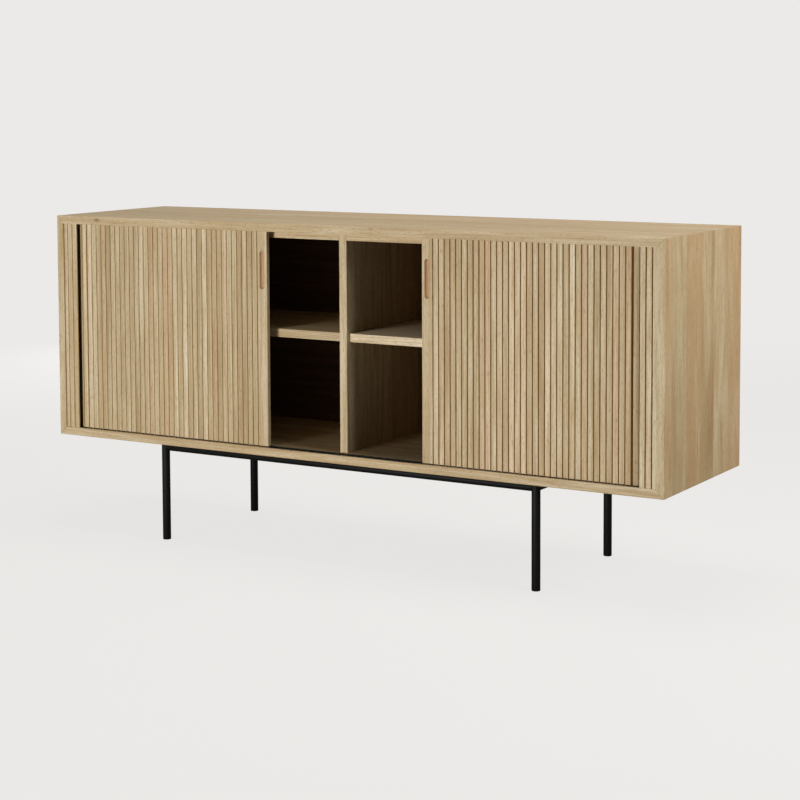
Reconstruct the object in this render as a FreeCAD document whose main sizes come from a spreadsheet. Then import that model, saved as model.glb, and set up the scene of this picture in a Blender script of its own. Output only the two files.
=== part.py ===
# Oak sideboard with two tambour doors on a round-tube steel base.
# Frame: X along the width, the front faces -Y, Z up, origin on the floor under the middle. Millimetres.
import FreeCAD, Part
import math
import os
import re

# Driving dimensions. The front of the case is at -Y, depths are counted from there.
SIZES = {
    # oak case
    "case_width": 1650.0,
    "case_depth": 440.0,
    "case_height": 555.0,
    "leg_height": 240.0,
    "panel": 20.0,
    "arris": 2.0,
    "back_thickness": 8.0,
    "rebate": 10.0,
    "spline_width": 12.0,
    "spline_thickness": 3.0,
    "spline_inset": 35.0,
    # track of the curtains, a groove routed in the top and the bottom
    "track_lip": 11.5,
    "side_lip": 9.0,
    "groove_depth": 8.0,
    "track_play": 0.5,
    "seat_play": 0.3,
    "lift_play": 1.5,
    "bend_radius": 56.0,
    # tambour curtains
    "slat_pitch": 14.75,
    "slat_gap": 1.75,
    "slat_thickness": 12.0,
    "slat_chamfer": 1.0,
    "glue_line": 0.1,
    "canvas_thickness": 0.8,
    "canvas_margin": 4.0,
    "canvas_lap": 20.0,
    "tail_cover": 30.0,
    # lead stiles and their finger recesses
    "stile_width": 27.5,
    "stile_arris": 1.5,
    "left_lead_edge": 195.0,
    "right_lead_edge": 228.0,
    "meeting_gap": 1.0,
    "recess_width": 13.0,
    "recess_height": 90.0,
    "recess_depth": 7.0,
    "recess_drop": 48.0,
    # fixed reeded strips at both ends of the front
    "strip_width": 39.5,
    "strip_setback": 3.5,
    "strip_thickness": 7.5,
    "strip_groove_depth": 4.5,
    # inside
    "bay_setback": 40.0,
    "board": 20.0,
    "shelf_rise": 260.0,
    "shelf_setback": 12.0,
    "shelf_play": 0.3,
    "top_rail_height": 17.0,
    "top_rail_thickness": 18.0,
    "inner_side_thickness": 12.0,
    "inner_back_thickness": 6.0,
    "lane_gap": 2.0,
    "pin_diameter": 5.0,
    "pin_sunk": 8.0,
    "pin_proud": 8.0,
    "pin_inset": 45.0,
    # steel base
    "leg_diameter": 20.0,
    "rail_diameter": 18.0,
    "tube_wall": 1.5,
    "leg_spread": 510.0,
    "leg_front_inset": 25.0,
    "leg_back_inset": 37.0,
    "glide_height": 4.0,
    "glide_spigot": 14.0,
    "glide_round": 1.5,
    "plate_length": 60.0,
    "plate_width": 40.0,
    "plate_thickness": 3.0,
    "plate_bite": 3.0,
    # fasteners
    "screw_diameter": 4.0,
    "screw_head_diameter": 8.0,
    "screw_head_height": 2.5,
    "screw_length": 11.0,
    "back_screw_length": 22.0,
    "back_screw_inset": 90.0,
    # one overrun for all cuts
    "overrun": 5.0,
}

# Places worked out from the driving dimensions.
LAYOUT = {
    "half_width": "case_width / 2",
    "front": "-case_depth / 2",
    "back": "case_depth / 2",
    "case_middle": "leg_height + case_height / 2",
    "case_top": "leg_height + case_height",
    "floor": "leg_height + panel",
    "ceiling": "case_top - panel",
    "clear_height": "case_height - 2 * panel",
    "inner_half": "half_width - panel",
    "track_width": "2 * track_play + slat_thickness + glue_line + canvas_thickness",
    "track_front": "front + track_lip",
    "track_back": "back - back_thickness - side_lip",
    "track_half": "inner_half - side_lip",
    "groove_low": "floor - groove_depth",
    "groove_high": "ceiling + groove_depth",
    "bend_x": "track_half - bend_radius",
    "bend_front": "track_front + bend_radius",
    "bend_back": "track_back - bend_radius",
    "inner_bend": "bend_radius - track_width",
    "slat_front": "track_front + track_play",
    "slat_back": "slat_front + slat_thickness",
    "slat_low": "groove_low + seat_play",
    "slat_high": "groove_high - lift_play",
    "slat_width": "slat_pitch - slat_gap",
    "pitch_radius": "bend_radius - track_play - slat_thickness",
    "recess_top": "ceiling - recess_drop",
    "recess_middle": "recess_top - recess_height / 2",
    "strip_front": "front + strip_setback",
    "strip_inside": "inner_half - strip_width",
    "bay_front": "front + bay_setback",
    "lane_radius": "inner_bend - lane_gap",
    "front_reach": "max(bend_front - bay_front; 0)",
    "inner_side_out": "bend_x + sqrt(max(lane_radius ^ 2 - front_reach ^ 2; 0))",
    "inner_side_in": "inner_side_out - inner_side_thickness",
    "bay_back": "bend_back + sqrt(max(lane_radius ^ 2 - (inner_side_out - bend_x) ^ 2; 0))",
    "inner_back_rear": "bay_back + inner_back_thickness",
    "inner_back_half": "bend_x + sqrt(max(lane_radius ^ 2 - (inner_back_rear - bend_back) ^ 2; 0))",
    "bay_depth": "bay_back - bay_front",
    "shelf_front": "bay_front + shelf_setback",
    "shelf_low": "floor + shelf_rise",
    "shelf_high": "shelf_low + board",
    "pin_level": "shelf_low - pin_diameter / 2",
    "rail_level": "ceiling - top_rail_height",
    "leg_front": "front + leg_front_inset",
    "leg_back": "back - leg_back_inset",
    "tube_level": "leg_height - rail_diameter / 2",
    "plate_level": "leg_height - plate_thickness",
}

doc = FreeCAD.newDocument("tambour_sideboard")
X_AXIS = FreeCAD.Vector(1, 0, 0)
Y_AXIS = FreeCAD.Vector(0, 1, 0)
Z_AXIS = FreeCAD.Vector(0, 0, 1)
SIDES = {"left": -1, "right": 1}
BACK_SCREW_ROW = 6
BAR_SIDES = 8
nodes = {}


def with_sheets(text, layout_prefix="layout."):
    """Puts the sheet's name before each named value of a formula."""
    def prefixed(match):
        word = match.group(0)
        if word in SIZES:
            return "sizes." + word
        if word in LAYOUT:
            return layout_prefix + word
        return word
    return re.sub(r"[a-z]\w*", prefixed, text)


def add_sheet(name, rows):
    """Adds a sheet with a name and a value or formula on each row."""
    sheet = doc.addObject("Spreadsheet::Sheet", name)
    for row, (alias, content) in enumerate(rows.items(), start=1):
        sheet.set(f"A{row}", alias)
        sheet.set(f"B{row}", content)
        sheet.setAlias(f"B{row}", alias)
    doc.recompute()
    return sheet


sizes = add_sheet("sizes", {alias: str(value) for alias, value in SIZES.items()})
layout = add_sheet("layout", {alias: "=" + with_sheets(text, "") for alias, text in LAYOUT.items()})


def value(alias):
    """Reads a named value, in millimetres."""
    sheet = sizes if alias in SIZES else layout
    return float(sheet.get(alias))


def bind(item, formulas):
    """Ties properties of an object to formulas of named values."""
    for name, text in formulas.items():
        item.setExpression(name, with_sheets(text))


def place(item, x, y, z):
    """Ties the place of an object to formulas."""
    bind(item, {"Placement.Base.x": x, "Placement.Base.y": y, "Placement.Base.z": z})


def box(name, corner, extent):
    """Adds a box from its low corner and its three lengths."""
    item = doc.addObject("Part::Box", name)
    bind(item, dict(zip(("Length", "Width", "Height"), extent)))
    place(item, *corner)
    return item


def cylinder(name, radius, length, base, axis=Z_AXIS):
    """Adds a cylinder from the middle of its first end along an axis."""
    item = doc.addObject("Part::Cylinder", name)
    bind(item, {"Radius": radius, "Height": length})
    item.Placement = FreeCAD.Placement(FreeCAD.Vector(), FreeCAD.Rotation(Z_AXIS, axis))
    place(item, *base)
    return item


def prism(name, radius, length, base, axis):
    """Adds a many-sided bar from the middle of its first end along an axis."""
    item = doc.addObject("Part::Prism", name)
    item.Polygon = BAR_SIDES
    bind(item, {"Circumradius": radius, "Height": length})
    item.Placement = FreeCAD.Placement(FreeCAD.Vector(), FreeCAD.Rotation(Z_AXIS, axis))
    place(item, *base)
    return item


def boolean(kind, name, base, tool):
    """Adds a cut, a common or a fuse of two objects."""
    item = doc.addObject("Part::" + kind, name)
    item.Base = base
    item.Tool = tool
    return item


def group(name, items):
    """Adds a group of separate solids."""
    item = doc.addObject("Part::Compound", name)
    item.Links = items
    return item


def rounded(name, base, radius, picked, kind="Fillet"):
    """Adds a fillet or a chamfer on the picked edges of an object."""
    doc.recompute()
    item = doc.addObject("Part::" + kind, name)
    item.Base = base
    chosen = [i for i, edge in enumerate(base.Shape.Edges, start=1) if picked(edge)]
    item.Edges = [(i, value(radius), value(radius)) for i in chosen]
    return item


def upright(edge):
    """Tells whether a straight edge stands along Z."""
    return abs(edge.tangentAt(edge.FirstParameter).z) > 0.99


def underneath(edge):
    """Tells whether an edge lies on the floor."""
    return edge.BoundBox.ZMax < value("glide_height") / 2


def keep(name, item):
    """Names an object as a piece of the sideboard."""
    item.Label = name
    nodes[name] = item
    return item


# Fasteners come first, because the boards are cut to fit them.
def mitre_splines():
    """Four strips, square to the mitres at the corners of the case."""
    strips = []
    for name, side in SIDES.items():
        for end, way in (("low", -1), ("high", 1)):
            strip = box(f"spline_{name}_{end}", ("0", "0", "0"),
                        ("spline_width", "case_depth - 2 * spline_inset", "spline_thickness"))
            tilt = FreeCAD.Rotation(Y_AXIS, 45 * side * way)
            strip.Placement = FreeCAD.Placement(FreeCAD.Vector(), tilt)
            # the strip's own middle is brought to the middle of the mitre
            along = "spline_width / 2 * cos(45)"
            across = f"spline_thickness / 2 * sin(45) * {side * way}"
            place(strip,
                  f"{side} * (half_width - panel / 2) - {along} - {across}",
                  "front + spline_inset",
                  f"case_middle + {way} * (case_height / 2 - panel / 2)"
                  f" + {side * way} * spline_width / 2 * sin(45) - spline_thickness / 2 * cos(45)")
            strips.append(strip)
    return keep("mitre_splines", group("mitre_splines", strips))


def screw(name, length, head, base, axis):
    """A flat-headed screw, its head at the base and its shank along the axis."""
    shank = prism(name + "_shank", "screw_diameter / 2", length, base, axis)
    top = prism(name + "_head", "screw_head_diameter / 2", head, base, axis)
    return boolean("Fuse", name, shank, top)


def back_panel_screws():
    """Screws round the edge of the back, into the rebated boards."""
    places = []
    for row, level in (("low", "floor - rebate / 2"), ("high", "ceiling + rebate / 2")):
        for i in range(BACK_SCREW_ROW):
            share = 2 * i / (BACK_SCREW_ROW - 1) - 1
            places.append((f"back_screw_{row}_{i}", f"(inner_half - back_screw_inset) * {share}", level))
    for name, side in SIDES.items():
        for i in (-1, 1):
            level = f"case_middle + {i} * (clear_height / 2 - back_screw_inset)"
            places.append((f"back_screw_{name}_{i + 1}", f"{side} * (inner_half + rebate / 2)", level))
    screws = [screw(name, "back_screw_length", "screw_head_height", (x, "back", z), -Y_AXIS)
              for name, x, z in places]
    return keep("back_panel_screws", group("back_panel_screws", screws))


def corners():
    """The four corners of the base: name, side, row and the place of the leg."""
    for row, way, depth in (("front", 1, "leg_front"), ("back", -1, "leg_back")):
        for name, side in SIDES.items():
            yield f"{row}_{name}", side, way, (f"{side} * leg_spread", depth)


def plate_screws():
    """Two screws through each mounting plate, up into the bottom of the case."""
    screws = []
    for name, side, way, (x, y) in corners():
        for i in (1, 3):
            across = f"{x} - {side} * (rail_diameter / 2 + plate_length * {i} / 4)"
            depth = f"{y} + {way} * (rail_diameter / 2 + plate_width / 2)"
            level = "plate_level - screw_head_height"
            screws.append(screw(f"{name}_plate_screw_{i}", "screw_length + screw_head_height",
                                "screw_head_height", (across, depth, level), Z_AXIS))
    return keep("plate_screws", group("plate_screws", screws))


def shelf_spans():
    """The two bays: name, low and high formula of the clear width."""
    return (
        ("left", "-inner_side_in", "-board / 2"),
        ("right", "board / 2", "inner_side_in"),
    )


def shelf_pins():
    """Four pins under each shelf, sunk in the uprights beside it."""
    pins = []
    for bay, low, high in shelf_spans():
        for end, start in (("low", f"{low} - pin_sunk"), ("high", f"{high} - pin_proud")):
            for row, depth in (("front", "shelf_front + pin_inset"), ("back", "bay_back - pin_inset")):
                pins.append(prism(f"{bay}_pin_{end}_{row}", "pin_diameter / 2",
                                  "pin_sunk + pin_proud", (start, depth, "pin_level"), X_AXIS))
    return keep("shelf_pins", group("shelf_pins", pins))


# The case
def track_ring():
    """The way of the curtains: a ring that cuts the groove in the top and the bottom."""
    outside = box("track_outside", ("-track_half", "track_front", "groove_low"),
                  ("2 * track_half", "track_back - track_front", "groove_high - groove_low"))
    inside = box("track_inside",
                 ("track_width - track_half", "track_front + track_width", "groove_low - overrun"),
                 ("2 * (track_half - track_width)", "track_back - track_front - 2 * track_width",
                  "groove_high - groove_low + 2 * overrun"))
    return boolean("Cut", "track_ring", rounded("track_outside_bends", outside, "bend_radius", upright),
                   rounded("track_inside_bends", inside, "inner_bend", upright))


def case_boards(splines, back_screws, base_screws):
    """Four mitred boards with eased arrises, a rebate for the back and the curtain's groove."""
    block = box("case_block", ("-half_width", "front", "leg_height"),
                ("case_width", "case_depth", "case_height"))
    eased = rounded("case_block_eased", block, "arris", lambda edge: True)
    rebate = box("back_rebate", ("-inner_half - rebate", "back - back_thickness", "floor - rebate"),
                 ("2 * (inner_half + rebate)", "back_thickness + overrun", "clear_height + 2 * rebate"))
    ring = track_ring()
    boards = (
        ("top_panel", 0, "case_width", "case_height / 2", (rebate, splines, back_screws, ring)),
        ("right_side_panel", 90, "case_height", "half_width", (rebate, splines, back_screws)),
        ("bottom_panel", 180, "case_width", "case_height / 2",
         (rebate, splines, back_screws, ring, base_screws)),
        ("left_side_panel", 270, "case_height", "half_width", (rebate, splines, back_screws)),
    )
    for name, turn, span, rise, tools in boards:
        wedge = doc.addObject("Part::Wedge", name + "_blank")
        bind(wedge, {
            "Xmin": f"panel - {span} / 2", "Xmax": f"{span} / 2 - panel",
            "X2min": f"-{span} / 2", "X2max": f"{span} / 2",
            "Ymin": f"{rise} - panel", "Ymax": rise,
            "Zmin": "front", "Zmax": "back", "Z2min": "front", "Z2max": "back",
        })
        turned = FreeCAD.Rotation(Y_AXIS, turn) * FreeCAD.Rotation(X_AXIS, 90)
        wedge.Placement = FreeCAD.Placement(FreeCAD.Vector(), turned)
        place(wedge, "0", "0", "case_middle")
        board = boolean("Common", name + "_eased", wedge, eased)
        for i, tool in enumerate(tools, start=1):
            step = name if i == len(tools) else f"{name}_cut_{i}"
            board = boolean("Cut", step, board, tool)
        keep(name, board)


def back_panel(back_screws):
    """Flat back in the rebate, drilled for its screws."""
    blank = box("back_panel_blank", ("-inner_half - rebate", "back - back_thickness", "floor - rebate"),
                ("2 * (inner_half + rebate)", "back_thickness", "clear_height + 2 * rebate"))
    keep("back_panel", boolean("Cut", "back_panel", blank, back_screws))


def end_strips():
    """Fixed boards with two grooves each, in front of the curtain's bends."""
    for name, side in SIDES.items():
        low = "strip_inside" if side > 0 else "-inner_half"
        strip = box(f"{name}_strip_blank", (low, "strip_front", "floor"),
                    ("strip_width", "strip_thickness", "clear_height"))
        for i in (1, 2):
            edge = f"strip_inside + {i} * slat_pitch"
            start = f"{edge} - slat_gap" if side > 0 else f"-({edge})"
            groove = box(f"{name}_strip_groove_{i}", (start, "strip_front - overrun", "floor - overrun"),
                         ("slat_gap", "strip_groove_depth + overrun", "clear_height + 2 * overrun"))
            strip = boolean("Cut", f"{name}_strip_{i}", strip, groove)
        keep(f"{name}_end_strip", strip)


# The inside
def uprights(pins):
    """Divider and inner sides, drilled for the shelf pins."""
    places = (
        ("centre_divider", "-board / 2", "board"),
        ("left_inner_side", "-inner_side_out", "inner_side_thickness"),
        ("right_inner_side", "inner_side_in", "inner_side_thickness"),
    )
    for name, start, thickness in places:
        blank = box(name + "_blank", (start, "bay_front", "floor"), (thickness, "bay_depth", "clear_height"))
        keep(name, boolean("Cut", name, blank, pins))
    keep("inner_back", box("inner_back", ("-inner_back_half", "bay_back", "floor"),
                           ("2 * inner_back_half", "inner_back_thickness", "clear_height")))


def shelves_and_rails():
    """A shelf and a rail under the top in each bay."""
    for bay, low, high in shelf_spans():
        keep(f"{bay}_shelf", box(f"{bay}_shelf", (f"{low} + shelf_play", "shelf_front", "shelf_low"),
                                 (f"{high} - ({low}) - 2 * shelf_play", "bay_back - shelf_front", "board")))
        keep(f"{bay}_top_rail", box(f"{bay}_top_rail", (low, "bay_front", "rail_level"),
                                    (f"{high} - ({low})", "top_rail_thickness", "top_rail_height")))


# The steel base
def base_frame(base_screws):
    """Four tube legs, four tube rails coped to them, glides and mounting plates."""
    posts = []
    glides = []
    for name, _side, _way, (x, y) in corners():
        post = cylinder(name + "_post", "leg_diameter / 2", "leg_height - glide_height",
                        (x, y, "glide_height"))
        # the bore stops under the welded cap at the leg's head
        bore = cylinder(name + "_post_bore", "leg_diameter / 2 - tube_wall",
                        "leg_height - glide_height - tube_wall + overrun", (x, y, "glide_height - overrun"))
        posts.append(post)
        keep(f"{name}_leg", boolean("Cut", f"{name}_leg", post, bore))
        disc = cylinder(name + "_glide_disc", "leg_diameter / 2", "glide_height", (x, y, "0"))
        foot = rounded(name + "_glide_foot", disc, "glide_round", underneath, "Chamfer")
        spigot = prism(name + "_glide_spigot", "leg_diameter / 2 - tube_wall", "glide_spigot",
                       (x, y, "glide_height"), Z_AXIS)
        glides.append(boolean("Fuse", name + "_glide", foot, spigot))
    keep("foot_glides", group("foot_glides", glides))
    all_posts = group("all_posts", posts)
    rails = (
        ("front_rail", ("-leg_spread", "leg_front", "tube_level"), "2 * leg_spread", X_AXIS),
        ("back_rail", ("-leg_spread", "leg_back", "tube_level"), "2 * leg_spread", X_AXIS),
        ("left_side_rail", ("-leg_spread", "leg_front", "tube_level"), "leg_back - leg_front", Y_AXIS),
        ("right_side_rail", ("leg_spread", "leg_front", "tube_level"), "leg_back - leg_front", Y_AXIS),
    )
    tubes = {name: cylinder(name + "_tube", "rail_diameter / 2", length, start, axis)
             for name, start, length, axis in rails}
    long_tubes = group("long_tubes", [tubes["front_rail"], tubes["back_rail"]])
    for name, start, length, axis in rails:
        bore = cylinder(name + "_bore", "rail_diameter / 2 - tube_wall", length, start, axis)
        coped = boolean("Cut", name + "_coped", tubes[name], all_posts)
        if axis is Y_AXIS:
            # the side rails butt against the long rails beside the legs
            coped = boolean("Cut", name + "_butted", coped, long_tubes)
        keep(name, boolean("Cut", name, coped, bore))
    steel = group("all_steel", list(tubes.values()) + posts)
    plates = []
    for name, side, way, (x, y) in corners():
        low_x = f"{x} + plate_bite" if side < 0 else f"{x} - plate_bite - plate_length"
        low_y = f"{y} + plate_bite" if way > 0 else f"{y} - plate_bite - plate_width"
        blank = box(name + "_plate_blank", (low_x, low_y, "plate_level"),
                    ("plate_length", "plate_width", "plate_thickness"))
        welded = boolean("Cut", name + "_plate_welded", blank, steel)
        plates.append(boolean("Cut", name + "_plate", welded, base_screws))
    keep("mounting_plates", group("mounting_plates", plates))


# The doors
class CurtainWay:
    """The line of the slats' backs: front, bend, side, bend and back, counted from the lead stile."""

    def __init__(self, side, lead):
        """Lays out the five stretches for one side.

        Args:
            side: -1 for the left door, 1 for the right one.
            lead: distance of the stile's trailing edge from the middle of the case.
        """
        self.side = side
        radius = value("pitch_radius")
        quarter = radius * math.pi / 2
        front_length = value("bend_x") - lead
        side_length = value("bend_back") - value("bend_front")
        self.start = FreeCAD.Vector(lead, value("slat_back"), 0)
        self.stretches = [(front_length, 0), (quarter, radius), (side_length, 0), (quarter, radius),
                          (value("bend_x"), 0)]

    def frame(self, distance):
        """Point, direction and outward normal at a distance along the way, on the right-hand side."""
        point = FreeCAD.Vector(self.start)
        heading = FreeCAD.Vector(X_AXIS)
        for length, radius in self.stretches:
            step = min(distance, length)
            outward = heading.cross(Z_AXIS)
            if radius:
                angle = step / radius
                swing = outward * math.cos(angle) + heading * math.sin(angle)
                point = point - outward * radius + swing * radius
                heading = heading * math.cos(angle) - outward * math.sin(angle)
            else:
                point = point + heading * step
            distance -= step
            if distance <= 0:
                break
        return point, heading, heading.cross(Z_AXIS)

    def at(self, distance, along=0.0, outward=0.0):
        """A point beside the way, on this door's own side of the case."""
        point, heading, normal = self.frame(distance)
        moved = point + heading * along + normal * outward
        return FreeCAD.Vector(moved.x * self.side, moved.y, moved.z)

    def edges(self, first, last, outward):
        """Lines and arcs from one distance to another, moved outwards."""
        pieces = []
        reached = 0.0
        for length, radius in self.stretches:
            low = max(first, reached) if reached else first
            high = min(last, reached + length)
            if high > low:
                ends = (self.at(low, outward=outward), self.at(high, outward=outward))
                middle = self.at((low + high) / 2, outward=outward)
                curve = Part.Arc(ends[0], middle, ends[1]) if radius else Part.LineSegment(*ends)
                pieces.append(curve.toShape())
            reached += length
        return pieces


def raised(face, low, high):
    """A solid on a flat face at height zero, from one named height to another."""
    solid = face.extrude(Z_AXIS * (high - low))
    solid.translate(Z_AXIS * low)
    return solid


def door(name, side):
    """Lead stile with its finger recess, the slats and the canvas that joins them."""
    edge = f"{name}_lead_edge"
    low = edge if side > 0 else f"-{edge} - stile_width"
    blank = box(name + "_stile_blank", (low, "slat_front", "slat_low"),
                ("stile_width", "slat_thickness", "slat_high - slat_low"))
    eased = rounded(name + "_stile_eased", blank, "stile_arris", upright)
    middle = f"{side} * ({edge} + stile_width / 2)"
    straight = "recess_height - recess_width"
    slot = box(name + "_recess_slot",
               (f"{middle} - recess_width / 2", "slat_front - overrun", f"recess_middle - ({straight}) / 2"),
               ("recess_width", "recess_depth + overrun", straight))
    ends = [cylinder(f"{name}_recess_end_{way + 1}", "recess_width / 2", "recess_depth + overrun",
                     (middle, "slat_front - overrun", f"recess_middle + {way} * ({straight}) / 2"), Y_AXIS)
            for way in (-1, 1)]
    recess = boolean("Fuse", name + "_recess_low", slot, ends[0])
    recess = boolean("Fuse", name + "_recess", recess, ends[1])
    keep(name + "_lead_stile", boolean("Cut", name + "_lead_stile", eased, recess))

    way = CurtainWay(side, value(edge) + value("stile_width"))
    pitch = value("slat_pitch")
    closed_run = value("bend_x") - value("stile_width") - value("meeting_gap") / 2
    covered = closed_run + value("pitch_radius") * math.pi / 2 + value("tail_cover")
    count = math.ceil(covered / pitch)
    half = value("slat_width") / 2
    depth = value("slat_thickness")
    chamfer = value("slat_chamfer")
    section = ((-half, 0), (half, 0), (half, depth - chamfer), (half - chamfer, depth),
               (chamfer - half, depth), (-half, depth - chamfer), (-half, 0))
    slats = []
    for i in range(count):
        distance = (i + 1) * pitch - half
        outline = Part.makePolygon([way.at(distance, along, out) for along, out in section])
        slats.append(raised(Part.Face(outline), value("slat_low"), value("slat_high")))
    item = doc.addObject("Part::Feature", name + "_slats")
    item.Shape = Part.makeCompound(slats)
    keep(name + "_slats", item)

    first = -value("canvas_lap")
    last = count * pitch
    near = -value("glue_line")
    far = near - value("canvas_thickness")
    caps = [Part.LineSegment(way.at(end, outward=near), way.at(end, outward=far)).toShape()
            for end in (first, last)]
    loop = way.edges(first, last, near) + way.edges(first, last, far) + caps
    cloth = Part.Face(Part.Wire(Part.__sortEdges__(loop)))
    item = doc.addObject("Part::Feature", name + "_canvas")
    item.Shape = raised(cloth, value("floor") + value("canvas_margin"),
                        value("ceiling") - value("canvas_margin"))
    keep(name + "_canvas", item)


def write_pieces():
    """Checks every object and writes each piece to its own file."""
    doc.recompute()
    for item in doc.Objects:
        if "Invalid" in item.State or "Error" in item.State:
            raise RuntimeError(f"{item.Label} failed: {item.State}")
    for name, item in nodes.items():
        if item.Shape.isNull() or not item.Shape.isValid() or not item.Shape.Solids:
            raise RuntimeError(f"{name} has no valid solid")
    os.makedirs("parts", exist_ok=True)
    for name, item in nodes.items():
        item.Shape.exportStep(f"parts/{name}.step")
        print(f"{name}: {len(item.Shape.Solids)} solids, {item.Shape.Volume:.0f} mm3")
    print(f"{len(nodes)} pieces")


def main():
    """Builds the sideboard from its fasteners to its doors."""
    splines = mitre_splines()
    back_screws = back_panel_screws()
    base_screws = plate_screws()
    pins = shelf_pins()
    case_boards(splines, back_screws, base_screws)
    back_panel(back_screws)
    end_strips()
    uprights(pins)
    shelves_and_rails()
    base_frame(base_screws)
    for name, side in SIDES.items():
        door(name, side)
    write_pieces()


main()
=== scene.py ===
"""Looks of an oak sideboard with two tambour doors on a black steel base.

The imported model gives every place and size, in metres: X along the width, the front faces -Y, Z up.
"""

import logging
import math
import random
from dataclasses import dataclass, field
from enum import Enum
from functools import partial
from typing import Callable, Sequence

import bpy
from bpy.types import Material, Node, NodeSocket, NodeTree, Object, World
from mathutils import Matrix, Vector


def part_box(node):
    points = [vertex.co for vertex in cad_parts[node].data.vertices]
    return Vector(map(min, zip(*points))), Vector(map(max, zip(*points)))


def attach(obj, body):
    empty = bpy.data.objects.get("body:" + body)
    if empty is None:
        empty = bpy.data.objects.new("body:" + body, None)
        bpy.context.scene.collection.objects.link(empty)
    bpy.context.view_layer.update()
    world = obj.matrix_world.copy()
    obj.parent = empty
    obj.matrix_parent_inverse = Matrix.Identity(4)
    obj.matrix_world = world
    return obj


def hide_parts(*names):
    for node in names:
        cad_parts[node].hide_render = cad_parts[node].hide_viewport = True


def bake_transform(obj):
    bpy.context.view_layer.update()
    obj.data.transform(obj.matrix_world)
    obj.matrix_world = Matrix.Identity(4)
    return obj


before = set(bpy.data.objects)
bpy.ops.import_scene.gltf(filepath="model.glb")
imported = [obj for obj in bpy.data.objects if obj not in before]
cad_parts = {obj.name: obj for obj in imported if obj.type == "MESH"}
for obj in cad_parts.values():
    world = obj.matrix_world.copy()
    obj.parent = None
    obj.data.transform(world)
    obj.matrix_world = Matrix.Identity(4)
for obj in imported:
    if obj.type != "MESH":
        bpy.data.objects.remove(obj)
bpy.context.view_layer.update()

log = logging.getLogger("sideboard")

MM = 0.001
# places closer than this are the same place
TOUCH = 0.01 * MM
# the slats of the doors and the reeds of the end strips have the same spacing
SLAT_PITCH = 14.75 * MM
# longest way up the log that a board may be cut from
LOG_LENGTH = 9.0
LEGS = ("front_left_leg", "front_right_leg", "back_left_leg", "back_right_leg")
# attributes that a board carries
GRAIN = "grain"
TONE = "tone"
BLUSH = "blush"
# sockets of a colour mix
MIX_AMOUNT, MIX_UNDER, MIX_COVER = 0, 6, 7
# steps of a rounding that is seen from close by
FINE_STEPS = 3
Pair = tuple[float, float]
Triple = tuple[float, float, float]
# adds a node to one tree, and tells which edges of a mesh to take
Adder = Callable[..., Node]
EdgeTest = Callable[[Vector, Vector], bool]


class Grain(Enum):
    """The axis that a board's grain runs along, with the axes across its face and through it."""

    WIDTH = (0, 1, 2)
    HEIGHT = (2, 1, 0)
    HEIGHT_FRONT = (2, 0, 1)
    WIDTH_FRONT = (0, 2, 1)


class Door(Enum):
    """The two doors, with the way from the middle of the case to their corner."""

    LEFT = -1
    RIGHT = 1

    @property
    def label(self) -> str:
        """The door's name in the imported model."""
        return self.name.lower()

    @property
    def body(self) -> str:
        """The body that the door's lead stile rides."""
        return f"{self.label}_door"

    def across(self, near: float, far: float) -> list[float]:
        """Two distances from the middle of the case as places along X, the lowest first."""
        return sorted((self.value * near, self.value * far))


@dataclass(frozen=True)
class DoorLook:
    """What sets one door and the strip beside it apart from the other: tone, gaps and rounding."""

    door: Door
    tone: float
    gap: float
    ease: float
    strip_gap: float
    strip_groove: float


# the left curtain is pushed together a little, so its gaps are narrower
DOOR_LOOKS = (
    DoorLook(Door.LEFT, tone=0.48, gap=1.2 * MM, ease=0.9 * MM, strip_gap=1.3 * MM, strip_groove=4.5 * MM),
    DoorLook(Door.RIGHT, tone=0.52, gap=1.75 * MM, ease=1.5 * MM, strip_gap=2.3 * MM, strip_groove=6.0 * MM),
)


# Nodes and colours


def linear(code: str) -> tuple[float, ...]:
    """Turns an sRGB hex colour into linear values.

    Args:
        code: six hex digits after a hash.

    Returns:
        Red, green, blue and an alpha of one.
    """
    parts = [int(code[i:i + 2], 16) / 255 for i in (1, 3, 5)]
    values = [p / 12.92 if p <= 0.04045 else ((p + 0.055) / 1.055) ** 2.4 for p in parts]
    return (*values, 1.0)


def per_metre(size_mm: float) -> float:
    """The scale of a pattern whose features are a number of millimetres apart."""
    return 1 / (size_mm * MM)


def feed(node: Node, inputs: dict) -> None:
    """Sets and links the inputs of a node.

    Args:
        node: the node.
        inputs: socket name or number to a value, or to the socket or node that feeds it.
    """
    for name, value in inputs.items():
        if isinstance(value, Node):
            value = next(socket for socket in value.outputs if socket.enabled)
        if isinstance(value, NodeSocket):
            node.id_data.links.new(value, node.inputs[name])
        else:
            node.inputs[name].default_value = value


def add_node(tree: NodeTree, kind: str, inputs: dict | None = None,
             stops: Sequence[tuple[float, str]] = (), **settings: str) -> Node:
    """Adds a node with its settings, values and links.

    Args:
        tree: the node tree.
        kind: the node's type name.
        inputs: what feeds its sockets.
        stops: place and hex colour of each stop, for a colour ramp.
        settings: properties of the node.

    Returns:
        The new node.
    """
    node = tree.nodes.new(kind)
    for name, value in settings.items():
        setattr(node, name, value)
    feed(node, inputs or {})
    for i, (place, colour) in enumerate(stops):
        element = node.color_ramp.elements[i] if i < 2 else node.color_ramp.elements.new(place)
        element.position = place
        element.color = linear(colour)
    return node


def adder(owner: Material | World) -> Adder:
    """Empties the node tree of a material or a world.

    Args:
        owner: the material or the world.

    Returns:
        The function that adds a node to its tree.
    """
    owner.use_nodes = True
    owner.node_tree.nodes.clear()
    return partial(add_node, owner.node_tree)


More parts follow.
